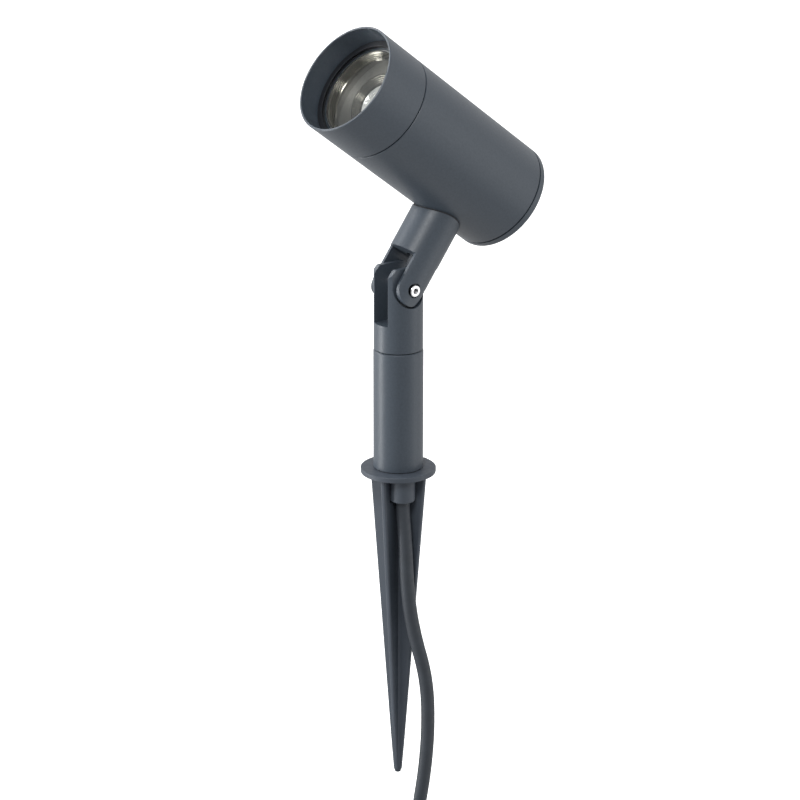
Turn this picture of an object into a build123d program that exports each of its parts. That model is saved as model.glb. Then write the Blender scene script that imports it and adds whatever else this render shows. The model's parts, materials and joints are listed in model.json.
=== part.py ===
"""Garden-spike spotlight: earth spike, stem tube, swivelling fork, tilting arm and cylindrical lamp head.

Frame: millimetres, +Z up.  The origin is the centre of the ground flange's underside, so the spike
is below z = 0.  The lamp looks towards -Y (tilted up by REST_TILT) and the tilt axis is parallel to X.
"""
from build123d import *
import math
import os

# ---- driving dimensions (mm, degrees) ----
STEM_R = 13.45           # stem tube outer radius
STEM_BORE = 11.4
STEM_TOP = 69.5          # top rim of the stem tube
FORK_R = 13.2            # swivelling fork outer radius
FORK_BASE = 70.1
SLOT_HALF = 5.7          # half width of the slot between the fork's tongues
SLOT_FLOOR = 84.8
SLOT_CHAMFER = 0.35
TONGUE_HALF = 8.2        # half distance over the two tongues
PIVOT_Z = 104.6          # height of the tilt axis
TONGUE_REACH = 13.6      # tongue corners lie on this radius about the tilt axis
TONGUE_TOP = 11.1        # tongue's flat top above the tilt axis
ARM_R = 14.0             # tilt arm outer radius
EAR_GAP_HALF = 9.3       # half distance between the arm's ears
EAR_R = 8.8              # ear end radius and half width
POCKET_R = 10.0          # recess in the fork's sides around the ear ends
WINDOW_TOP = 17.2        # end of the gap between the ears, from the tilt axis
REST_TILT = 36.8         # head elevation in the rest pose
ARM_LENGTH = 71.8        # tilt axis to head axis
SCREW_R = 2.0            # M4 pivot screw
HEAD_R = 30.4            # head tube outer radius
HEAD_BORE = 27.9
SNOOT_FRONT = 97.5       # rim of the snoot, forward of the arm axis
SEAM_FRONT = 68.9        # joint between snoot and head tube
SEAM_GAP = 0.7
REAR_SEAM = -28.6
HEAD_REAR = -33.5
SNOOT_BORE = 29.2
GLASS_DEPTH = 13.3       # front of the glass behind the rim
GLASS_T = 1.5
GLASS_R = 28.8
RING_BORE = 26.2         # opening of the ring and the seal that hold the glass
RING_T = 0.5
FLANGE_R = 20.4
FLANGE_T = 3.0
SPIKE_TOP_R = 17.1       # rib radius under the flange
SPIKE_TIP_Z = -178.6
SPIKE_TIP_R = 2.3
RIB_T = 3.0              # rib thickness under the flange
RIB_TIP_T = 2.2
RIB_EDGE_R = 1.05        # rounding of the ribs' outer edges
RIB_ANGLE = 22.0         # first rib, from +X
CORE_R = 2.5             # round core where the ribs cross
GLAND_OFFSET = 9.2       # cable outlet, from the stem axis
GLAND_ANGLE = -23.0
GLAND_R = 6.8
GLAND_BOTTOM = -13.5
CABLE_R = 3.8            # H05RN-F 3G1
LEAD_R = 2.9             # sheathed lead inside the lamp
FIT = 0.05               # radial clearance of a running fit
HANK_X, HANK_Z = -8.0, -286.0
HANK_FOLD_R = 23.0       # centre-line radius of the hank's folds
HANK_HALF_RUN = 50.0     # half length of its straight runs
HANK_PITCH = 8.0
HANK_TURNS = 4.5
HANK_Y0 = 4.0            # first turn
HANK_Y1 = HANK_Y0 - HANK_PITCH * HANK_TURNS

UP = (Align.CENTER, Align.CENTER, Align.MIN)
PIVOT = Vector(0, 0, PIVOT_Z)
TILT = math.radians(REST_TILT)
ARM_DIR = Vector(0, math.sin(TILT), math.cos(TILT))
BEAM_DIR = Vector(0, -math.cos(TILT), math.sin(TILT))
HEAD_CENTRE = PIVOT + ARM_DIR * ARM_LENGTH
ARM = Plane(origin=PIVOT, x_dir=(1, 0, 0), z_dir=ARM_DIR)          # +Z up the arm, +Y to its back
HEAD = Plane(origin=HEAD_CENTRE, x_dir=(1, 0, 0), z_dir=BEAM_DIR)  # +Z along the beam, -Y to the arm
GLAND_X = GLAND_OFFSET * math.cos(math.radians(GLAND_ANGLE))
GLAND_Y = GLAND_OFFSET * math.sin(math.radians(GLAND_ANGLE))

os.makedirs("parts", exist_ok=True)


# ---- small helpers ----
def rod(radius, low, high, x=0.0, y=0.0):
    return Pos(x, y, low) * Cylinder(radius, high - low, align=UP)


def ring(outer, inner, low, high, x=0.0, y=0.0):
    return rod(outer, low, high, x, y) - rod(inner, low - 1, high + 1, x, y)


def block(x0, x1, y0, y1, z0, z1):
    return Pos((x0 + x1) / 2, (y0 + y1) / 2, (z0 + z1) / 2) * Box(x1 - x0, y1 - y0, z1 - z0)


def turned(*points):
    """Solid of revolution about Z from (radius, z) points."""
    outline = make_face(Polyline(*[(r, 0, z) for r, z in points], close=True))
    return revolve(outline, Axis.Z)


def across(radius, x0, x1, y=0.0, z=0.0):
    """Round bar parallel to X."""
    return Pos(x0, y, z) * Rot(0, 90, 0) * Cylinder(radius, x1 - x0, align=UP)


def hexagon_bar(flats, low, high):
    sketch = RegularPolygon(flats / 2, 6, major_radius=False)
    return Pos(0, 0, low) * extrude(sketch, high - low)


def bend_radii(points, share=0.45):
    """Largest tangent-arc radius for each corner, from its shorter run and its turn."""
    radii = []
    for before, corner, after in zip(points, points[1:], points[2:]):
        run_in, run_out = corner - before, after - corner
        half_turn = math.radians(run_in.get_angle(run_out)) / 2
        radii.append(share * min(run_in.length, run_out.length) / math.tan(half_turn))
    return radii


def cord_tube(name, points, radius):
    """Round cord along straight runs joined by tangent arcs."""
    points = [Vector(*p) for p in points]
    radii = bend_radii(points)
    path = FilletPolyline(*points, radius=radii)
    start = Plane(origin=points[0], z_dir=points[1] - points[0])
    tube = sweep(start * Circle(radius), path=path)
    expected = math.pi * radius ** 2 * path.length
    print(f"{name}: radii {[round(r) for r in radii]} length {path.length:.1f} "
          f"volume ratio {tube.volume / expected:.4f}")
    return tube, path.length


def write(name, *solids):
    parts = []
    for solid in solids:
        parts += solid.solids() if hasattr(solid, "solids") else list(solid)
    shape = parts[0] if len(parts) == 1 else Compound(children=parts)
    shape.label = name
    export_step(shape, f"parts/{name}.step")


# ---- ground end ----
LEAD_IN = [(GLAND_X, GLAND_Y, -6), (GLAND_X, GLAND_Y, -1), (GLAND_X * 0.45, GLAND_Y * 0.45, 18),
           (0, 0, 31), (0, 0, 43.9)]


def rib_plate(turn):
    """Tapered plate with rounded edges: two opposite ribs."""
    root = Plane.XY * RectangleRounded(2 * SPIKE_TOP_R, RIB_T, RIB_EDGE_R)
    tip = Plane.XY.offset(SPIKE_TIP_Z) * RectangleRounded(2 * SPIKE_TIP_R, RIB_TIP_T, RIB_EDGE_R * RIB_TIP_T / RIB_T)
    return Rot(0, 0, turn) * loft([tip.face(), root.face()])


def ground_spike():
    point = turned((0, SPIKE_TIP_Z), (SPIKE_TIP_R * 0.7, SPIKE_TIP_Z + 0.6), (SPIKE_TIP_R, SPIKE_TIP_Z + 2.6),
                   (SPIKE_TOP_R + 1, 0), (0, 0))
    ribs = rib_plate(RIB_ANGLE) + rib_plate(RIB_ANGLE + 90) + rod(CORE_R, SPIKE_TIP_Z, 0)
    ribs = ribs & point
    pocket = rod(GLAND_R + 0.2, GLAND_BOTTOM - 1.5, 0, GLAND_X, GLAND_Y)
    ribs = ribs - pocket
    flange = fillet(rod(FLANGE_R, 0, FLANGE_T).edges(), 0.5)
    collar = rod(5.0, GLAND_BOTTOM + 4, 0.4, GLAND_X, GLAND_Y)
    boss = chamfer(rod(STEM_BORE, FLANGE_T - 0.1, 17).edges().sort_by(Axis.Z)[-1], 0.8)
    recess = rod(GLAND_R + 0.2, -1, 0.5, GLAND_X, GLAND_Y) - rod(5.0, -2, 1, GLAND_X, GLAND_Y)
    passage, _ = cord_tube("spike passage", [(GLAND_X, GLAND_Y, -10)] + LEAD_IN[1:], CABLE_R + 0.35)
    return (ribs + flange + boss - recess) + collar - passage


def gland_nut():
    """Cap of the cable outlet: screws on the spike's collar and squeezes the seal."""
    low = GLAND_BOTTOM
    cap = turned((CABLE_R + 0.15, low), (GLAND_R - 0.9, low), (GLAND_R - 0.25, low + 0.3), (GLAND_R, low + 0.9),
                 (GLAND_R, 0.3), (5.05, 0.3), (5.05, low + 1.4), (CABLE_R + 0.15, low + 1.4))
    return Pos(GLAND_X, GLAND_Y, 0) * cap


def gland_seal():
    low = GLAND_BOTTOM
    grommet = turned((CABLE_R, low + 1.4), (5.0, low + 1.4), (5.0, low + 3.9), (CABLE_R, low + 3.9))
    return Pos(GLAND_X, GLAND_Y, 0) * grommet


def stem_tube():
    tube = ring(STEM_R, STEM_BORE, FLANGE_T + 0.5, STEM_TOP)
    rims = tube.edges().filter_by(GeomType.CIRCLE).group_by(Axis.Z)
    return chamfer([e for e in rims[-1] if e.radius > 12], 0.6)


def base_gasket():
    return ring(STEM_R - 0.5, STEM_BORE + 0.02, FLANGE_T, FLANGE_T + 0.5)


def swivel_bush():
    return ring(STEM_BORE, 9.05, 50, STEM_TOP - 0.7)


# ---- fork ----
def stem_fork():
    reach = PIVOT_Z + TONGUE_TOP
    body = rod(FORK_R, FORK_BASE, reach)
    tongue = rod(TONGUE_REACH, -20, 20)
    crown = Pos(0, 0, PIVOT_Z) * Rot(0, 90, 0) * tongue
    below = block(-20, 20, -20, 20, FORK_BASE, PIVOT_Z)
    body = body & (below + crown)
    slot = block(-SLOT_HALF, SLOT_HALF, -20, 20, SLOT_FLOOR, reach + 1)
    body = body - slot
    slot_rims = [e for e in body.edges().filter_by(GeomType.LINE) if abs(abs(e.center().X) - SLOT_HALF) < FIT
                 and abs(e.center().Y) > SLOT_HALF]
    body = chamfer(slot_rims, SLOT_CHAMFER)
    for side in (-1, 1):
        cheek = block(*sorted((side * TONGUE_HALF, side * 20)), -20, 20, PIVOT_Z, reach + 1)
        pocket = across(POCKET_R, *sorted((side * TONGUE_HALF, side * 20)), 0, PIVOT_Z)
        body = body - cheek - pocket
    spigot = rod(9.0, 45, FORK_BASE + 1) + rod(11.9, STEM_TOP + 0.2, FORK_BASE + 1)
    bore = rod(LEAD_R + 0.9, 40, SLOT_FLOOR + 1)
    body = body + spigot - bore
    throat = block(-LEAD_R - 1, LEAD_R + 1, 0, 8.6, 70, SLOT_FLOOR + 1)
    body = body - throat - across(SCREW_R + FIT, -20, 20, 0, PIVOT_Z)
    groove = ring(9.5, 7.9, 64.2, 66.0)
    return body - groove


def swivel_o_ring():
    return ring(9.0, 7.9, 64.3, 65.9)


def swivel_washer():
    return ring(10.9, 9.05, 49.2, 49.9)


def swivel_nut():
    nut = hexagon_bar(19.2, 45.4, 49.1)
    return nut - rod(9.0, 40, 55)


def friction_washers():
    washer = [across(6.5, *sorted((s * (TONGUE_HALF + 0.02), s * (EAR_GAP_HALF - 0.03))), 0, PIVOT_Z) for s in (-1, 1)]
    return [w - across(SCREW_R + FIT, -20, 20, 0, PIVOT_Z) for w in washer]


# ---- tilt arm (drawn in the ARM plane) ----
def tilt_arm():
    arm = rod(ARM_R, -ARM_R, ARM_LENGTH)
    gap = block(-EAR_GAP_HALF, EAR_GAP_HALF, -20, 20, -20, WINDOW_TOP)
    gap = fillet(gap.edges().filter_by(Axis.Y).sort_by(Axis.Z)[-2:], 1.6)
    ears = block(-20, 20, -EAR_R, EAR_R, 0, WINDOW_TOP + 1) + across(EAR_R, -20, 20)
    shoulder = turned((0, 15.0), (EAR_R, 15.0), (ARM_R + 0.5, 17.6), (ARM_R + 0.5, 90), (0, 90))
    arm = (arm & (ears + shoulder)) - gap
    head = Rot(90, 0, 0) * rod(HEAD_R + 0.8, -40, 40)
    arm = arm - Pos(0, 0, ARM_LENGTH) * head
    bore = rod(4.5, WINDOW_TOP - 2, 60) + rod(5.0, 29.5, 60)
    counterbore = across(4.0, 12.4, 16) + across(4.4, -16, -11.6)
    hole = across(SCREW_R, -16, 16)
    return arm - bore - counterbore - hole


def pivot_screw():
    shank = across(SCREW_R, -13.6, 12.4)
    head = across(3.1, 12.4, 14.9)
    socket = Pos(12.4, 0, 0) * Rot(0, 90, 0) * hexagon_bar(3.0, 0, 3)
    rim = head.edges().filter_by(GeomType.CIRCLE).sort_by(Axis.X)[-1]
    return shank + chamfer(rim, 0.35) - socket


def pivot_nut():
    nut = Pos(-13.4, 0, 0) * Rot(0, 90, 0) * hexagon_bar(7.0, 0, 1.8)
    return nut - across(SCREW_R, -16, 16)


def arm_gasket():
    """Saddle seal between the arm and the head tube."""
    seat = rod(ARM_R - 0.45, 30, ARM_LENGTH) - rod(6.2, 20, 80)
    outer = Pos(0, 0, ARM_LENGTH) * Rot(90, 0, 0) * rod(HEAD_R + 0.8, -40, 40)
    inner = Pos(0, 0, ARM_LENGTH) * Rot(90, 0, 0) * rod(HEAD_R, -40, 40)
    return (seat & outer) - inner


def arm_nipple():
    """Hollow threaded tube that clamps the arm to the head and carries the lead."""
    return ring(5.0, 3.75, 30, ARM_LENGTH - 22.5)


def nipple_nut():
    high = ARM_LENGTH - math.sqrt(HEAD_BORE ** 2 - 8.2 ** 2)
    return hexagon_bar(14.0, high, high + 3.0) - rod(5.0, 0, 90)


# ---- head (drawn in the HEAD plane, +Z towards the beam) ----
LAMP_FACE = SNOOT_FRONT - GLASS_DEPTH - GLASS_T - 0.1
HOLDER_FRONT = LAMP_FACE - 43.2
HOLDER_T = 12.0
BRACKET_BACK = HOLDER_FRONT - HOLDER_T - 1.2
BRACKET_SCREW_Z = BRACKET_BACK - 4.3
BLIND_R = 29.1           # bottom of the tapped blind holes in the head tube
EARTH_AT = (-20.0, 0.0)


def head_tube():
    tube = ring(HEAD_R, HEAD_BORE, REAR_SEAM, SEAM_FRONT - SEAM_GAP)
    tube = chamfer([e for e in tube.edges().filter_by(GeomType.CIRCLE) if e.radius > 30], 0.25)
    hole = Rot(90, 0, 0) * rod(5.05, 20, 40)
    return tube - hole - across(1.5, -BLIND_R, BLIND_R, 0, BRACKET_SCREW_Z)


def rear_cap():
    cap = rod(HEAD_R, HEAD_REAR, REAR_SEAM - SEAM_GAP)
    cap = fillet(cap.edges().sort_by(Axis.Z)[0], 1.6)
    spigot = ring(HEAD_BORE - 0.02, 24.5, REAR_SEAM - SEAM_GAP - 0.2, REAR_SEAM + 9)
    groove = ring(29, 26.4, REAR_SEAM + 3, REAR_SEAM + 5.2)
    web = ring(HEAD_R - 1.2, 24.5, REAR_SEAM - SEAM_GAP - 0.1, REAR_SEAM)
    return cap + spigot + web - groove


def rear_o_ring():
    return ring(HEAD_BORE - 0.02, 26.4, REAR_SEAM + 3.1, REAR_SEAM + 5.1)


def snoot():
    rim = SNOOT_FRONT
    seat = rim - GLASS_DEPTH - GLASS_T - 0.5
    body = turned((HEAD_R - 0.25, SEAM_FRONT), (HEAD_R, SEAM_FRONT + 0.25), (HEAD_R, rim - 0.3),
                  (HEAD_R - 0.3, rim), (SNOOT_BORE + 0.15, rim), (SNOOT_BORE, rim - 0.2), (SNOOT_BORE, seat),
                  (25.7, seat), (25.7, SEAM_FRONT - 9), (HEAD_BORE - FIT, SEAM_FRONT - 9),
                  (HEAD_BORE - FIT, SEAM_FRONT - SEAM_GAP), (HEAD_BORE - FIT, SEAM_FRONT))
    groove = ring(29, 26.6, SEAM_FRONT - 5, SEAM_FRONT - 2.8)
    return body - groove


def snoot_o_ring():
    return ring(HEAD_BORE - FIT, 26.62, SEAM_FRONT - 4.95, SEAM_FRONT - 2.85)


def glass_ring():
    low = SNOOT_FRONT - GLASS_DEPTH
    high = low + RING_T
    return turned((RING_BORE, low), (RING_BORE, high - 0.15), (RING_BORE + 0.15, high), (SNOOT_BORE - 0.2, high),
                  (SNOOT_BORE, high - 0.2), (SNOOT_BORE, low))


def front_glass():
    high = SNOOT_FRONT - GLASS_DEPTH
    pane = rod(GLASS_R, high - GLASS_T, high)
    return chamfer(pane.edges(), 0.3)


def glass_gasket():
    high = SNOOT_FRONT - GLASS_DEPTH - GLASS_T
    return ring(GLASS_R, RING_BORE, high - 0.5, high)


def lamp_housing():
    """Outer heat-sink shell of the reflector lamp."""
    f = LAMP_FACE
    return turned((25.0, f), (25.0, f - 3.5), (24.2, f - 5), (21.5, f - 15), (14.5, f - 29), (11.5, f - 36),
                  (10.0, f - 36), (13.0, f - 28.4), (20.0, f - 14.6), (22.9, f - 5.4), (24.5, f - 3.6), (24.5, f))


def lamp_reflector():
    """Stepped front rings and the deep satin cone seen through the glass."""
    f = LAMP_FACE
    return turned((24.45, f - 0.1), (23.8, f - 0.1), (23.4, f - 0.7), (22.9, f - 0.7), (22.5, f - 1.4), (21.8, f - 1.4),
                  (21.2, f - 2.2), (15.6, f - 9.0), (14.6, f - 9.4), (14.6, f - 10.2), (13.0, f - 10.5),
                  (13.0, f - 11.3), (11.2, f - 11.6), (11.2, f - 12.8), (14.6, f - 12.8), (16.6, f - 10.4),
                  (22.3, f - 3.4), (24.45, f - 3.2))


def lamp_lens():
    """Faceted centre lens over the light source."""
    f = LAMP_FACE
    return turned((0, f - 10.9), (4.0, f - 11.1), (8.0, f - 11.8), (11.15, f - 12.8), (11.15, f - 13.4), (0, f - 13.4))


def lamp_driver():
    f = LAMP_FACE
    return turned((0, f - 16), (12.0, f - 16), (12.0, f - 28), (9.6, f - 36), (9.0, f - 43), (0, f - 43))


def lamp_pins():
    f = LAMP_FACE
    pin = rod(1.5, f - 49.5, f - 43, 5.0, 0) + rod(2.5, f - 49.5, f - 48.0, 5.0, 0)
    return [pin, Rot(0, 0, 180) * pin]


def lamp_holder():
    h = HOLDER_FRONT
    body = block(-13, 13, -8.5, 8.5, h - HOLDER_T, h)
    body = fillet(body.edges().filter_by(Axis.Z), 3)
    sockets = rod(2.8, h - 8, h + 1, 5.0, 0) + rod(2.8, h - 8, h + 1, -5.0, 0)
    screws = rod(1.6, h - 20, h + 1, 10, 0) + rod(1.6, h - 20, h + 1, -10, 0)
    leads = rod(1.1, h - 20, h - 7, 5.0, 0) + rod(1.1, h - 20, h - 7, -5.0, 0)
    return body - sockets - screws - leads


def holder_bracket():
    """Sheet-steel bridge that carries the lampholder inside the head tube."""
    h = HOLDER_FRONT - HOLDER_T
    plate = block(-26, 26, -9, 9, BRACKET_BACK, h)
    feet = [block(s * 26.5 - 0.6, s * 26.5 + 0.6, -5.5, 5.5, BRACKET_SCREW_Z - 4, h) for s in (-1, 1)]
    bridge = plate + feet[0] + feet[1]
    holes = rod(1.6, h - 5, h + 5, 10, 0) + rod(1.6, h - 5, h + 5, -10, 0) + rod(7.6, h - 5, h + 5)
    holes = holes + rod(2.0, h - 5, h + 5, *EARTH_AT)
    return bridge - holes - across(1.5, -30, 30, 0, BRACKET_SCREW_Z)


def holder_screws():
    h = HOLDER_FRONT
    screw = rod(1.5, h - 15.5, h - 1.0, 10, 0) + rod(2.7, h - 15.5, h - 13.25, 10, 0)
    return [screw, Rot(0, 0, 180) * screw]


def bracket_screws():
    screw = across(1.5, 24.0, BLIND_R, 0, BRACKET_SCREW_Z) + across(2.6, 23.6, 25.85, 0, BRACKET_SCREW_Z)
    return [screw, Rot(0, 0, 180) * screw]


def terminal_block():
    block_body = block(-12, 12, -8, 4, -14, -4)
    for x in (-8, 0, 8):
        block_body = block_body - rod(2.1, -20, 0, x, -4)
        block_body = block_body - Pos(x, 5, -9) * Rot(90, 0, 0) * Cylinder(2.0, 6.4, align=UP)
    return block_body


def terminal_screws():
    return [Pos(x, 3, -9) * Rot(90, 0, 0) * Cylinder(1.9, 4.0, align=UP) for x in (-8, 0, 8)]


def holder_leads():
    h = HOLDER_FRONT
    leads = []
    for side in (-1, 1):
        points = [(side * 5, 0, h - 8.2), (side * 5, 0, h - 14), (side * 5.6, -1.8, (h - 14) / 2),
                  (side * 8, -4, 2), (side * 8, -4, -4.2)]
        leads.append(cord_tube("holder lead", points, 1.0)[0])
    return leads


def earth_lead():
    points = [(0, -4, -4.2), (0, -4, 2.0), (-3, 0.5, 6.5), (-9, 3.5, 9.0), (-13.5, 1.5, 12.5),
              (-14.5, 0, BRACKET_BACK - 6.9), (-14.5, 0.1, BRACKET_BACK - 2.4)]
    return cord_tube("earth lead", points, 1.0)[0]


def earth_screw():
    """Earth screw on the bracket, over the ring tag of the earth lead."""
    back = BRACKET_BACK
    return rod(2.0, back - 3.4, back + 5, *EARTH_AT) + rod(3.6, back - 3.4, back - 1.0, *EARTH_AT)


def earth_tag():
    """Crimped ring tag on the end of the earth lead."""
    back = BRACKET_BACK
    tag = rod(4.2, back - 0.9, back - 0.1, *EARTH_AT) - rod(2.0, back - 2, back + 1, *EARTH_AT)
    barrel = ring(1.6, 1.15, back - 5.5, back - 0.1, EARTH_AT[0] + 5.5, 0)
    return tag + barrel


# ---- inner leads ----
def stem_lead():
    return cord_tube("stem lead", LEAD_IN, LEAD_R)[0]


def arm_point(along, back):
    """A point given along the arm and behind its axis."""
    return tuple(PIVOT + ARM_DIR * along - BEAM_DIR * back)


def head_point(x, y, z):
    return tuple(HEAD.from_local_coords(Vector(x, y, z)))


FORK_EXIT = (0, 2.4, SLOT_FLOOR - 1.5)
ARM_ENTRY = arm_point(20.0, 0.4)
SHEATH_END = head_point(0, -14.0, -4.5)


def fork_lead():
    return cord_tube("fork lead", [(0, 0, 44.0), (0, 0, 60.0), (0, 0.4, SLOT_FLOOR - 12.0), FORK_EXIT], LEAD_R)[0]


def knuckle_lead():
    """Lead across the tilt joint: it passes behind the pivot screw and bends as the head tilts."""
    points = [FORK_EXIT, (0, 4.2, PIVOT_Z - 11.85), (0, 7.0, PIVOT_Z - 0.3), arm_point(11, 1.0), ARM_ENTRY]
    return cord_tube("knuckle lead", points, LEAD_R)[0]


def arm_lead():
    points = [ARM_ENTRY, arm_point(26.0, 0), arm_point(42.0, 0.1), arm_point(51.5, 0.9), SHEATH_END]
    return cord_tube("arm lead", points, LEAD_R)[0]


def core_leads():
    """Three cores from the sheath's end to the terminal block."""
    cores = []
    for x in (-8, 0, 8):
        points = [head_point(x * 0.18, -13.3, -5.6), head_point(x * 0.4, -12.4, -14), head_point(x * 0.8, -9.5, -19.5),
                  head_point(x, -5.0, -20.6), head_point(x, -4.0, -13.8)]
        cores.append(cord_tube("core", points, 0.9)[0])
    return cores


# ---- supply cable, hank and plug ----
CABLE_ROUTE = [(GLAND_X, GLAND_Y, -6), (GLAND_X, GLAND_Y, -18), (10.3, -3.0, -39.2), (11.1, -2.3, -65.2),
               (13.0, 0.4, -89.2), (17.5, 6.3, -117.2), (18.0, 7.4, -145.2), (16.8, 6.0, -173.2), (14.4, 2.8, -199.2),
               (15.0, HANK_Y0, -227)]
HANK_TOP_RUN = HANK_Z + HANK_HALF_RUN
PLUG_X, PLUG_Y = 10.4, -58.3
PLUG_TOP = -268.0
PLUG_FACE = PLUG_TOP - 62.0


def hank_outline(margin):
    straight = 2 * HANK_HALF_RUN
    return SlotCenterToCenter(straight, 2 * (HANK_FOLD_R + margin), rotation=90)


def cable_hank():
    low_y = HANK_Y1 - CABLE_R
    high_y = HANK_Y0 + CABLE_R
    loop = hank_outline(CABLE_R) - hank_outline(-CABLE_R)
    solid = extrude(loop, high_y - low_y)
    return Pos(HANK_X, high_y, HANK_Z) * Rot(90, 0, 0) * solid


def cable_tie():
    """Hook-and-loop strap round the waist of the hank."""
    half_x = HANK_FOLD_R + CABLE_R + 0.1
    low_y = HANK_Y1 - CABLE_R - 0.1
    high_y = HANK_Y0 + CABLE_R + 0.1
    inner = block(HANK_X - half_x, HANK_X + half_x, low_y, high_y, HANK_Z - 30, HANK_Z + 30)
    outer = block(HANK_X - half_x - 1.6, HANK_X + half_x + 1.6, low_y - 1.6, high_y + 1.6, HANK_Z - 8, HANK_Z + 8)
    outer = fillet(outer.edges().filter_by(Axis.Z), 3.0)
    return outer - inner


def plug_tail():
    """Route from the hank's last run, over a bend and down to the plug in front of the hank."""
    return [(HANK_X - HANK_FOLD_R, HANK_Y1, HANK_TOP_RUN), (-31.0, -32.1, -218.0), (-23.1, -37.0, -205.2),
            (-10.3, -45.2, -200.2), (2.5, -53.3, -205.2), (10.4, -58.3, -218.0), (10.5, -58.4, -245.0),
            (PLUG_X, PLUG_Y, PLUG_TOP)]


def plug_body():
    """Round earthed plug with a moulded tail."""
    z = PLUG_TOP
    body = turned((0, z), (4.6, z), (5.6, z - 22), (8.0, z - 26), (15.5, z - 33), (18.6, z - 38), (19.2, z - 44),
                  (19.2, PLUG_FACE + 1), (18.4, PLUG_FACE), (0, PLUG_FACE))
    grip = block(17.4, 25, -3.4, 3.4, PLUG_FACE - 1, z - 46)
    for turn in (0, 90, 180, 270):
        body = body - Rot(0, 0, turn) * grip
    return Pos(PLUG_X, PLUG_Y, 0) * body - plug_pins() - plug_earth_clips()


def plug_pins():
    pin = rod(2.4, PLUG_FACE - 19, PLUG_FACE + 6)
    pin = fillet(pin.edges().sort_by(Axis.Z)[0], 1.6)
    return [Pos(PLUG_X + side * 9.5, PLUG_Y, 0) * pin for side in (-1, 1)]


def plug_earth_clips():
    clip = block(-2.8, 2.8, 16.9, 17.9, PLUG_FACE + 1.5, PLUG_FACE + 13)
    return [Pos(PLUG_X, PLUG_Y, 0) * Rot(0, 0, turn) * clip for turn in (0, 180)]


def main():
    write("ground_spike", ground_spike())
    write("gland_nut", gland_nut())
    write("gland_seal", gland_seal())
    write("base_gasket", base_gasket())
    write("stem_tube", stem_tube())
    write("swivel_bush", swivel_bush())
    write("stem_lead", stem_lead())
    write("stem_fork", stem_fork())
    write("swivel_o_ring", swivel_o_ring())
    write("swivel_washer", swivel_washer())
    write("swivel_nut", swivel_nut())
    write("fork_lead", fork_lead())
    write("friction_washers", *friction_washers())
    for node in (tilt_arm, pivot_screw, pivot_nut, arm_gasket, arm_nipple, nipple_nut):
        write(node.__name__, ARM * node())
    write("knuckle_lead", knuckle_lead())
    write("arm_lead", arm_lead())
    for node in (head_tube, rear_cap, rear_o_ring, snoot, snoot_o_ring, glass_ring, front_glass, glass_gasket,
                 lamp_housing, lamp_reflector, lamp_lens, lamp_driver, lamp_holder, holder_bracket,
                 terminal_block, earth_lead, earth_tag, earth_screw):
        write(node.__name__, HEAD * node())
    for node in (lamp_pins, holder_screws, bracket_screws, terminal_screws, holder_leads):
        write(node.__name__, *[HEAD * solid for solid in node()])
    write("core_leads", *core_leads())
    write("supply_cable", cord_tube("supply cable", CABLE_ROUTE, CABLE_R)[0])
    write("cable_hank", cable_hank())
    write("cable_tie", cable_tie())
    write("plug_tail", cord_tube("plug tail", plug_tail(), CABLE_R)[0])
    write("plug_body", plug_body())
    write("plug_pins", *plug_pins())
    write("plug_earth_clips", *plug_earth_clips())


if __name__ == "__main__":
    main()
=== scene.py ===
"""Garden-spike spotlight: materials, lamp interior, cable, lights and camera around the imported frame.

Metres, +Z up, in the frame's own axes.  The lamp looks towards -Y and the tilt axis is parallel to X.
"""

import json
import math

import bmesh
import bpy
from mathutils import Matrix, Vector


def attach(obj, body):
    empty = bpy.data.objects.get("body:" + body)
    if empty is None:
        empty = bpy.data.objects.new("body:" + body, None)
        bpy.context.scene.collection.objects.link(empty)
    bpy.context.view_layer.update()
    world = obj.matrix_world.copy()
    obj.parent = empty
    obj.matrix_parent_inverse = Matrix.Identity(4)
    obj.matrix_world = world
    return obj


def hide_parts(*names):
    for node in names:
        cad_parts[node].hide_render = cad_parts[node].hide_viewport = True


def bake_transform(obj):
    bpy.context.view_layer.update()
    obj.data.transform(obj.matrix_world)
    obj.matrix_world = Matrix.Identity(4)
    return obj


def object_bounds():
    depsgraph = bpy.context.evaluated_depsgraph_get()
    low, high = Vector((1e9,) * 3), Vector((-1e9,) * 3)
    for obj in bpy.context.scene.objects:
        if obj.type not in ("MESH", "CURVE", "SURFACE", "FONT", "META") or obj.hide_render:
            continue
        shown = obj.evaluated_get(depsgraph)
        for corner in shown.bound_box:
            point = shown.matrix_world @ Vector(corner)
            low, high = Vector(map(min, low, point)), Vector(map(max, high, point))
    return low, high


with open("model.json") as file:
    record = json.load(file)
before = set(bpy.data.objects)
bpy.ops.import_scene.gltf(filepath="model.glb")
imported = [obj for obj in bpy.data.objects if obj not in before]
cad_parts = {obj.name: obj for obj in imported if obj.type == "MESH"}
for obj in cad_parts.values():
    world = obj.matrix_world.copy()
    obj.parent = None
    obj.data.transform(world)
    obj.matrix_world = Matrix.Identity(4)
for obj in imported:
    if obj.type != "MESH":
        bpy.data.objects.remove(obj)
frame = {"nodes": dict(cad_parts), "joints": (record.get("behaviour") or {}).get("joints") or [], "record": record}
CAD_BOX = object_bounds()
NODES = frame["nodes"]
SLOT_OF = {s["node"]: s["material_slot"] for s in frame["record"]["subparts"]}
JOINTS = {j["name"]: j for j in frame["joints"]}
MM = 0.001
WHITE = (1, 1, 1, 1)

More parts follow.
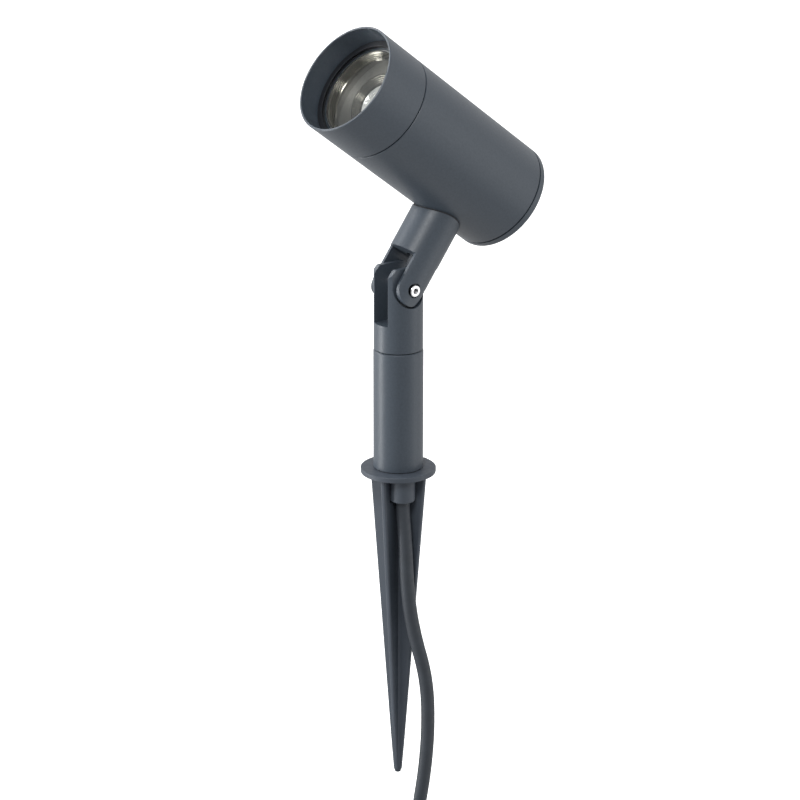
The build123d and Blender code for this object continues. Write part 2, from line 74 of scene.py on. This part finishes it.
# ---- places taken from the frame ----
BEAM = Vector(JOINTS["snoot_turn"]["axis"]).normalized()
HEAD_CENTRE = Vector(JOINTS["snoot_turn"]["pos_m"])
PIVOT = Vector(JOINTS["head_tilt"]["pos_m"])
ARM_DIR = (HEAD_CENTRE - PIVOT).normalized()
SIDE = Vector((1, 0, 0))
HEAD_AXES = Matrix((SIDE, ARM_DIR, BEAM)).transposed()
HEAD_MATRIX = Matrix.Translation(HEAD_CENTRE) @ HEAD_AXES.to_4x4()


# ---- scene helpers ----
def put(name, data):
    """New object in the scene."""
    obj = bpy.data.objects.new(name, data)
    bpy.context.scene.collection.objects.link(obj)
    return obj


def facing(at, aim, roll):
    """Place of a camera or lamp that stands at one point, faces another and is rolled by so many radians."""
    look = (Vector(aim) - Vector(at)).to_track_quat("-Z", "Y").to_matrix()
    return Matrix.Translation(at) @ (look @ Matrix.Rotation(roll, 3, "Z")).to_4x4()


def mesh_from(bm, name):
    mesh = bpy.data.meshes.new(name)
    bm.to_mesh(mesh)
    bm.free()
    return mesh


# ---- camera ----
CAMERA_AT = Vector((1.1815, -0.9226, 0.5333))
CAMERA_AIM = Vector((0.02148, -0.01565, 0.04924))
CAMERA_ROLL = math.radians(0.08)
LENS = 132.26
SENSOR = 36.0
FAR_CLIP = 50


def make_camera():
    data = bpy.data.cameras.new("camera")
    data.lens = LENS
    data.sensor_width = SENSOR
    data.clip_end = FAR_CLIP
    camera = put("camera", data)
    camera.matrix_world = facing(CAMERA_AT, CAMERA_AIM, CAMERA_ROLL)
    bpy.context.scene.camera = camera


# ---- materials ----
class Nodes:
    """A node tree with one Principled shader and short calls for what the materials share."""

    def __init__(self, name):
        self.material = bpy.data.materials.new(name)
        self.material.use_nodes = True
        self.tree = self.material.node_tree
        self.shader = self.tree.nodes["Principled BSDF"]
        self.place = self.add("ShaderNodeTexCoord").outputs["Object"]

    def add(self, kind, **inputs):
        node = self.tree.nodes.new(kind)
        for key, value in inputs.items():
            node.inputs[key.replace("_", " ")].default_value = value
        return node

    def link(self, out, into):
        self.tree.links.new(out, into)

    def set(self, **inputs):
        for key, value in inputs.items():
            self.shader.inputs[key.replace("_", " ")].default_value = value

    def noise(self, scale, detail=3.0, rough=0.5, place=None):
        node = self.add("ShaderNodeTexNoise", Scale=scale, Detail=detail, Roughness=rough)
        self.link(place or self.place, node.inputs["Vector"])
        return node.outputs["Fac"]

    def ramp(self, fac, *stops):
        node = self.add("ShaderNodeValToRGB")
        ends = node.color_ramp.elements
        while len(ends) < len(stops):
            ends.new(0.5)
        for end, (at, colour) in zip(ends, stops):
            end.position = at
            end.color = (*colour, 1) if len(colour) == 3 else colour
        self.link(fac, node.inputs["Fac"])
        return node.outputs["Color"]

    def span(self, fac, low, high, from_low=0.3, from_high=0.7):
        """fac rescaled to low..high."""
        node = self.add("ShaderNodeMapRange")
        limits = {"From Min": from_low, "From Max": from_high, "To Min": low, "To Max": high}
        for key, value in limits.items():
            node.inputs[key].default_value = value
        self.link(fac, node.inputs["Value"])
        return node.outputs["Result"]

    def bump(self, height, depth, strength=1.0, under=None):
        node = self.add("ShaderNodeBump", Strength=strength, Distance=depth)
        self.link(height, node.inputs["Height"])
        if under is not None:
            self.link(under, node.inputs["Normal"])
        self.link(node.outputs["Normal"], self.shader.inputs["Normal"])
        return node.outputs["Normal"]

    def painted_recess_shade(self, tone, reach):
        """Colour with painted shade: darkened by ambient occlusion in holes and corners narrower than reach, in
        metres.
        """
        occlusion_shade = self.add("ShaderNodeAmbientOcclusion", Distance=reach)
        depth = self.ramp(occlusion_shade.outputs["AO"], (0.25, (0.03, 0.03, 0.03)), (0.75, (1, 1, 1)))
        mix = self.add("ShaderNodeMixRGB", Fac=1.0)
        mix.blend_type = "MULTIPLY"
        self.link(tone, mix.inputs["Color1"])
        self.link(depth, mix.inputs["Color2"])
        return mix.outputs["Color"]

    def soft_edges(self, radius):
        """Normals rounded over sharp edges by radius, in metres."""
        return self.add("ShaderNodeBevel", Radius=radius).outputs["Normal"]

    def colour(self, out):
        self.link(out, self.shader.inputs["Base Color"])

    def roughness(self, out):
        self.link(out, self.shader.inputs["Roughness"])


def shade(colour, factor):
    return tuple(min(1.0, c * factor) for c in colour)


def powder_coat():
    """Fine-structured anthracite powder coat."""
    m = Nodes("powder_coat")
    base = (0.050, 0.064, 0.082)
    m.colour(m.ramp(m.noise(900, 2), (0.32, shade(base, 0.93)), (0.68, shade(base, 1.07))))
    m.roughness(m.span(m.noise(1500, 3), 0.37, 0.47))
    m.set(Specular_IOR_Level=0.5)
    wide = m.bump(m.noise(420, 2), 0.00008, 0.10, m.soft_edges(0.0001))
    m.bump(m.noise(1900, 3, 0.6), 0.00006, 0.35, wide)
    return m.material


def moulded_plastic(name, base, low=0.48, high=0.62, grain=1500, depth=0.00004):
    """Eroded-mould texture of technical plastic."""
    m = Nodes(name)
    m.colour(m.ramp(m.noise(60, 3), (0.3, shade(base, 0.94)), (0.7, shade(base, 1.06))))
    m.roughness(m.span(m.noise(300, 3), low, high))
    m.bump(m.noise(grain, 3, 0.6), depth, 0.4, m.soft_edges(0.0003))
    return m.material


def rubber(name, base, low=0.5, high=0.66):
    m = Nodes(name)
    m.colour(m.ramp(m.noise(140, 4), (0.3, shade(base, 0.9)), (0.7, shade(base, 1.12))))
    m.roughness(m.span(m.noise(500, 3), low, high))
    m.bump(m.noise(1600, 3, 0.65), 0.00005, 0.3)
    return m.material


def metal(name, base, low, high, stretch=(1, 1, 1), scale=900, bump=0.12, shade_reach=0.0):
    """Bare or plated metal with fine drawn lines along the shortest stretch, and painted shade in its recesses
    when a reach for it is given.
    """
    m = Nodes(name)
    spread = m.add("ShaderNodeMapping")
    spread.inputs["Scale"].default_value = stretch
    m.link(m.place, spread.inputs["Vector"])
    lines = m.noise(scale, 3, 0.6, spread.outputs["Vector"])
    tone = m.ramp(lines, (0.3, shade(base, 0.9)), (0.7, shade(base, 1.08)))
    # painted shade: the colour darkens in recesses and corners when a reach is given
    m.colour(m.painted_recess_shade(tone, shade_reach) if shade_reach else tone)
    m.roughness(m.span(lines, low, high))
    m.set(Metallic=1.0)
    m.bump(lines, 0.00003, bump)
    return m.material


GLOSS_FALLOFF = 4.0
GLOSS_HEAD_ON, GLOSS_GRAZING = 0.03, 0.75


def clear_glass():
    """Thin clear pane: mirror gloss over a see-through body."""
    m = Nodes("clear_glass")
    m.set(Base_Color=(0.9, 0.93, 0.93, 1), Metallic=1.0)
    m.roughness(m.span(m.noise(90, 2), 0.012, 0.02))
    clear = m.add("ShaderNodeBsdfTransparent", Color=(0.985, 0.992, 0.99, 1))
    graze = m.add("ShaderNodeLayerWeight", Blend=0.5)
    steep = m.add("ShaderNodeMath")
    steep.operation = "POWER"
    m.link(graze.outputs["Facing"], steep.inputs[0])
    steep.inputs[1].default_value = GLOSS_FALLOFF
    mix = m.add("ShaderNodeMixShader")
    m.link(m.span(steep.outputs[0], GLOSS_HEAD_ON, GLOSS_GRAZING, 0.0, 1.0), mix.inputs[0])
    m.link(clear.outputs[0], mix.inputs[1])
    m.link(m.shader.outputs[0], mix.inputs[2])
    m.link(mix.outputs[0], m.tree.nodes["Material Output"].inputs["Surface"])
    return m.material


def strap_fabric():
    m = Nodes("strap_fabric")
    wave = m.add("ShaderNodeTexVoronoi", Scale=1400.0)
    m.link(m.place, wave.inputs["Vector"])
    loops = wave.outputs["Distance"]
    m.colour(m.ramp(loops, (0.0, (0.035, 0.035, 0.038)), (0.7, (0.012, 0.012, 0.014))))
    m.roughness(m.span(m.noise(300), 0.8, 0.95))
    m.set(Sheen_Weight=0.3)
    m.bump(loops, 0.0002, 0.6)
    return m.material


def earth_core():
    """Green insulation with a yellow stripe wound along it."""
    m = Nodes("earth_pvc")
    wave = m.add("ShaderNodeTexWave", Scale=90.0, Distortion=0.0)
    m.link(m.place, wave.inputs["Vector"])
    m.colour(m.ramp(wave.outputs["Fac"], (0.48, (0.05, 0.22, 0.04)), (0.52, (0.62, 0.52, 0.03))))
    m.roughness(m.span(m.noise(400), 0.32, 0.45))
    return m.material


def facet_silver():
    """Bright vacuum-metallised lens cup."""
    m = Nodes("lamp_silver")
    m.colour(m.ramp(m.noise(700, 2), (0.3, (0.72, 0.72, 0.70)), (0.7, (0.86, 0.86, 0.84))))
    m.roughness(m.span(m.noise(900, 2), 0.12, 0.22))
    m.set(Metallic=1.0)
    m.bump(m.noise(800, 1), 0.00005, 0.15)
    return m.material


def make_materials():
    return {
        "powder_coat": powder_coat(),
        "spike_plastic": moulded_plastic("spike_plastic", (0.050, 0.062, 0.080)),
        "black_plastic": moulded_plastic("black_plastic", (0.006, 0.008, 0.012), 0.55, 0.65, 1200,
                                         0.00002),
        "cable_rubber": rubber("cable_rubber", (0.030, 0.037, 0.047)),
        "seal_rubber": rubber("seal_rubber", (0.014, 0.015, 0.018), 0.6, 0.8),
        "bush_nylon": moulded_plastic("bush_nylon", (0.72, 0.70, 0.64), 0.38, 0.5),
        # steel carries painted shade: its colour darkens in recesses within 2 mm, such as the screw socket
        "steel": metal("steel", (0.90, 0.90, 0.91), 0.18, 0.28, (1, 1, 1), 700, 0.12, 0.002),
        "zinc_steel": metal("zinc_steel", (0.62, 0.62, 0.58), 0.3, 0.42, (1, 1, 0.2), 900),
        "brass": metal("brass", (0.80, 0.60, 0.26), 0.22, 0.34, (1, 1, 0.3), 900),
        "clear_glass": clear_glass(),
        "lamp_bronze": metal("lamp_bronze", (0.19, 0.181, 0.158), 0.11, 0.17, (1, 1, 1), 1200, 0.06),
        "lamp_cone": metal("lamp_cone", (0.118, 0.114, 0.102), 0.50, 0.60, (1, 1, 1), 1200, 0.2),
        "lamp_shell": metal("lamp_shell", (0.42, 0.42, 0.42), 0.4, 0.5, (1, 1, 1), 900),
        "lamp_silver": facet_silver(),
        "holder_ceramic": moulded_plastic("holder_ceramic", (0.78, 0.75, 0.68), 0.35, 0.5, 900),
        "terminal_nylon": moulded_plastic("terminal_nylon", (0.74, 0.73, 0.70), 0.35, 0.48),
        "core_pvc": moulded_plastic("core_pvc", (0.20, 0.085, 0.035), 0.32, 0.45),
        "earth_pvc": earth_core(),
        "strap_fabric": strap_fabric(),
    }


MATERIALS = make_materials()


def paint(obj, slot):
    obj.data.materials.clear()
    obj.data.materials.append(MATERIALS[slot])
    return obj


def finish_cad_nodes():
    for name, obj in NODES.items():
        paint(obj, SLOT_OF[name])


# ---- mesh helpers ----
LAMP_SIDES = 192


def add_object(name, data, body, slot):
    """New object that rides on a body and is painted with its slot's material."""
    obj = paint(put(name, data), slot)
    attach(obj, body)
    return obj


def ring(bm, radius, height, count, offset=0.0):
    """Vertices round local Z, in millimetres; the offset is a part of one step."""
    turn = [2 * math.pi * (i + offset) / count for i in range(count)]
    return [bm.verts.new((radius * MM * math.cos(t), radius * MM * math.sin(t), height * MM)) for t in turn]


def lathe(name, outline, smooth_angle):
    """Turned lamp piece from a closed outline of (radius, height) points in millimetres."""
    bm = bmesh.new()
    rings = [ring(bm, radius, height, LAMP_SIDES) for radius, height in outline]
    for low, high in zip(rings, rings[1:] + rings[:1]):
        for i in range(LAMP_SIDES):
            j = (i + 1) % LAMP_SIDES
            bm.faces.new((low[i], low[j], high[j], high[i]))
    bmesh.ops.recalc_face_normals(bm, faces=bm.faces)
    mesh = mesh_from(bm, name)
    mesh.transform(HEAD_MATRIX)
    mesh.shade_smooth()
    mesh.set_sharp_from_angle(angle=math.radians(smooth_angle))
    return add_object(name, mesh, "head", "lamp_bronze")


def arc(centre, radius, start, end, count):
    """Points on an arc in the (radius, height) plane; angles in degrees."""
    turn = [math.radians(start + (end - start) * i / (count - 1)) for i in range(count)]
    return [(centre[0] + radius * math.cos(t), centre[1] + radius * math.sin(t)) for t in turn]


# ---- lamp seen through the glass, millimetres and degrees ----
LAMP_FACE = 82.6
STEP_SMOOTH, CONE_SMOOTH = 25, 40
BEAD_POINTS = 14
# radius, depth below the lamp's face and section radius of each bright bead
OUTER_BEADS = ((24.15, 0.4, 0.30), (23.45, 1.1, 0.38), (22.85, 1.75, 0.38), (22.2, 2.35, 0.38),
               (21.5, 2.95, 0.38))
INNER_BEADS = ((15.2, 9.45, 0.42), (14.4, 10.15, 0.42), (13.6, 10.8, 0.42), (12.8, 11.35, 0.42))
OUTER_BEAD_ARC, INNER_BEAD_ARC = (60, 225), (55, 230)
CONE_TOP, CONE_RUN, CONE_FALL, CONE_DISH = (20.9, 3.5), 5.1, 5.4, 0.45
CONE_PARTS = 12
FACETS = 24
LENS_RINGS = ((11.15, 11.9), (9.7, 12.9), (8.1, 13.8), (6.3, 14.5), (4.2, 15.0), (2.1, 15.2))
LENS_CENTRE_DEPTH, LENS_BACK_DEPTH = 15.25, 15.7


def beads(rows, angles):
    """Outline points of a row of beads."""
    points = []
    for radius, depth, size in rows:
        points += arc((radius, LAMP_FACE - depth), size, *angles, BEAD_POINTS)
    return points


def cone_outline():
    """Satin cone, dished a little between its two edges, and its back."""
    top_radius, top_depth = CONE_TOP
    points = []
    for i in range(CONE_PARTS + 1):
        dish = CONE_DISH * math.sin(math.pi * i / CONE_PARTS)
        height = LAMP_FACE - top_depth - CONE_FALL * i / CONE_PARTS - dish
        points.append((top_radius - CONE_RUN * i / CONE_PARTS, height))
    return points + [(16.4, LAMP_FACE - 10.2), (21.2, LAMP_FACE - 4.6)]


def lamp_front():
    """Polished outer and inner steps with the satin cone between them."""
    f = LAMP_FACE
    outer = [(20.9, f - 4.6), (24.45, f - 3.2), (24.45, f - 0.3)]
    outer += beads(OUTER_BEADS, OUTER_BEAD_ARC)
    outer += [(20.9, f - 3.5)]
    inner = [(16.4, f - 12.8), (15.8, f - 9.1)]
    inner += beads(INNER_BEADS, INNER_BEAD_ARC)
    inner += [(11.4, f - 11.8), (11.2, f - 12.8)]
    steps = lathe("lamp_outer_steps", outer, STEP_SMOOTH)
    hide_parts("lamp_reflector")
    cone = lathe("lamp_cone", cone_outline(), CONE_SMOOTH)
    cone.data.materials[0] = MATERIALS["lamp_cone"]
    lathe("lamp_inner_steps", inner, STEP_SMOOTH)


def facet_band(bm, outer, inner, leading):
    """Triangles between two staggered rings; leading tells which ring is half a step ahead."""
    for i in range(FACETS):
        j = (i + 1) % FACETS
        if leading:
            bm.faces.new((outer[i], inner[j], inner[i]))
            bm.faces.new((outer[i], outer[j], inner[j]))
        else:
            bm.faces.new((outer[i], outer[j], inner[i]))
            bm.faces.new((outer[j], inner[j], inner[i]))


def lamp_lens():
    """Shallow cup cut into facets on staggered rings."""
    bm = bmesh.new()
    rings = []
    for k, (radius, depth) in enumerate(LENS_RINGS):
        rings.append(ring(bm, radius, LAMP_FACE - depth, FACETS, 0.5 * (k % 2)))
    for k in range(len(rings) - 1):
        facet_band(bm, rings[k], rings[k + 1], k % 2 == 1)
    centre = bm.verts.new((0, 0, (LAMP_FACE - LENS_CENTRE_DEPTH) * MM))
    back = [bm.verts.new((v.co.x, v.co.y, (LAMP_FACE - LENS_BACK_DEPTH) * MM)) for v in rings[0]]
    for i in range(FACETS):
        j = (i + 1) % FACETS
        bm.faces.new((rings[-1][i], rings[-1][j], centre))
        bm.faces.new((rings[0][i], rings[0][j], back[j], back[i]))
    bm.faces.new(back)
    bmesh.ops.recalc_face_normals(bm, faces=bm.faces)
    mesh = mesh_from(bm, "lamp_faceted_lens")
    mesh.transform(HEAD_MATRIX)
    piece = add_object("lamp_faceted_lens", mesh, "head", "lamp_silver")
    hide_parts("lamp_lens")


# ---- supply cable, millimetres ----
CABLE_D = 7.6
CABLE_SIDES = 8
GLAND = (8.469, -3.595)
CABLE_ROUTE = [(*GLAND, -6), (*GLAND, -18), (10.3, -3.0, -39.2), (11.1, -2.3, -65.2), (13.0, 0.4, -89.2),
               (17.5, 6.3, -117.2), (18.0, 7.4, -145.2), (16.8, 6.0, -173.2), (14.4, 2.8, -199.2),
               (15.0, 4.0, -227)]
PLUG_ROUTE = [(-31.0, -32.0, -236.0), (-31.0, -32.1, -218.0), (-23.1, -37.0, -205.2), (-10.3, -45.2, -200.2),
              (2.5, -53.3, -205.2), (10.4, -58.3, -218.0), (10.5, -58.4, -245.0), (10.4, -58.3, -268.0)]
HANK_X, HANK_Z = -8.0, -286.0
HANK_FOLD_R, HANK_HALF_RUN = 23.0, 50.0
HANK_PITCH, HANK_TURNS, HANK_Y0 = 8.0, 4.5, 4.0
FOLD_POINTS = 7


def hank_points():
    """Control points of the folded turns: down the right, round the bottom, up the left, over the top."""
    reach = HANK_FOLD_R * 4 / (3 + math.cos(math.pi / (FOLD_POINTS - 1)))
    per_turn = 2 * FOLD_POINTS
    points = []
    for k in range(int(HANK_TURNS * per_turn)):
        turn, step = divmod(k, per_turn)
        bottom = step < FOLD_POINTS
        angle = math.pi * (step % FOLD_POINTS) / (FOLD_POINTS - 1)
        sign = 1 if bottom else -1
        x = HANK_X + sign * reach * math.cos(angle)
        z = HANK_Z - sign * (HANK_HALF_RUN + reach * math.sin(angle))
        points.append((x, HANK_Y0 - HANK_PITCH * (turn + step / per_turn), z))
    return points


def spline_curve(name, points, diameter, sides):
    """Round cord through control points in millimetres."""
    data = bpy.data.curves.new(name, "CURVE")
    data.dimensions = "3D"
    data.resolution_u = 10
    data.bevel_depth = diameter / 2 * MM
    data.bevel_resolution = sides
    data.use_fill_caps = True
    spline = data.splines.new("NURBS")
    spline.points.add(len(points) - 1)
    for target, point in zip(spline.points, points):
        target.co = (*(Vector(point) * MM), 1)
    spline.order_u = 3
    spline.use_endpoint_u = True
    return data


def supply_cable():
    points = CABLE_ROUTE + hank_points() + PLUG_ROUTE
    cable = add_object("cable", spline_curve("cable", points, CABLE_D, CABLE_SIDES), "ground", "cable_rubber")
    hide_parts("supply_cable", "cable_hank", "plug_tail")


# ---- lead across the tilt joint, millimetres ----
LEAD_D = 5.8
LEAD_SIDES = 6
LEAD_IN_FORK = ((0, 2.4, 83.3), (0, 4.2, 92.75), (0, 7.0, 104.3))
LEAD_ON_ARM, LEAD_NEAR_PIVOT = (20.0, 0.4), (11, 1.0)


def on_arm(reach, back):
    """Point along the arm from the pivot, and behind its middle plane."""
    return PIVOT / MM + ARM_DIR * reach - BEAM * back


def knuckle_lead():
    """Sheathed lead whose route curves from the fork into the head."""
    end = on_arm(*LEAD_ON_ARM)
    points = [*LEAD_IN_FORK, on_arm(*LEAD_NEAR_PIVOT), end]
    route = put("knuckle_route", spline_curve("knuckle_route", points, LEAD_D, LEAD_SIDES))
    mesh = bpy.data.meshes.new_from_object(route)
    bpy.data.objects.remove(route)
    mesh.name = "knuckle_sheath"
    piece = paint(put("knuckle_sheath", mesh), "cable_rubber")
    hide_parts("knuckle_lead")
    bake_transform(piece)


# ---- light and floor, metres ----
FLOOR_HALF_SIZE = 14
FLOOR_GAP = 0.004
FLOOR_GLOW = 0.75
WORLD_BRIGHT, WORLD_DIM = 0.84, 0.36
DIM_SIDE = (0.766, -0.643, 0.0)
LAMP_GLASS = HEAD_CENTRE + BEAM * 0.084
PART_MIDDLE = (0.0, 0.0, 0.05)


def area_light(name, at, aim, size, power, roll=0.0):
    """Rectangular soft light; the roll is in degrees."""
    data = bpy.data.lights.new(name, "AREA")
    data.shape = "RECTANGLE"
    data.size, data.size_y = size
    data.energy = power
    put(name, data).matrix_world = facing(at, aim, math.radians(roll))


def make_stage():
    """Plain pale floor just below the part."""
    bm = bmesh.new()
    bmesh.ops.create_grid(bm, x_segments=1, y_segments=1, size=FLOOR_HALF_SIZE)
    floor = put("floor", mesh_from(bm, "floor"))
    floor.location.z = CAD_BOX[0].z - FLOOR_GAP
    m = Nodes("floor_white")
    m.colour(m.ramp(m.noise(3, 2), (0.3, (0.92, 0.92, 0.92)), (0.7, (0.94, 0.94, 0.94))))
    m.roughness(m.span(m.noise(20), 0.85, 0.95))
    m.set(Emission_Color=WHITE, Emission_Strength=FLOOR_GLOW)
    floor.data.materials.append(m.material)
    floor.visible_diffuse = False
    floor.visible_glossy = False


def make_world():
    """White studio that dims towards one side."""
    world = bpy.data.worlds.new("studio")
    bpy.context.scene.world = world
    world.use_nodes = True
    tree = world.node_tree
    place = tree.nodes.new("ShaderNodeTexCoord")
    side = tree.nodes.new("ShaderNodeVectorMath")
    side.operation = "DOT_PRODUCT"
    side.inputs[1].default_value = DIM_SIDE
    ramp = tree.nodes.new("ShaderNodeMapRange")
    limits = {"From Min": 0.1, "From Max": 1.0, "To Min": WORLD_BRIGHT, "To Max": WORLD_DIM}
    for key, value in limits.items():
        ramp.inputs[key].default_value = value
    tree.links.new(place.outputs["Generated"], side.inputs[0])
    tree.links.new(side.outputs["Value"], ramp.inputs["Value"])
    background = tree.nodes["Background"]
    tree.links.new(ramp.outputs["Result"], background.inputs["Strength"])
    background.inputs["Color"].default_value = WHITE


def make_lights():
    make_world()
    area_light("left_box", (-0.80, -1.16, 0.15), PART_MIDDLE, (0.36, 1.3), 21)
    area_light("high_box", (-1.1875, -0.429, 1.120), LAMP_GLASS, (0.24, 0.24), 5, 45)
    area_light("key_box", (0.74, -0.90, 1.15), PART_MIDDLE, (0.45, 0.45), 11)
    area_light("right_fill", (1.00, 0.95, -0.05), PART_MIDDLE, (0.9, 1.3), 2.6)
    view = bpy.context.scene.view_settings
    view.view_transform = "Standard"
    view.look = "None"


make_camera()
finish_cad_nodes()
supply_cable()
knuckle_lead()
lamp_front()
lamp_lens()
make_stage()
make_lights()
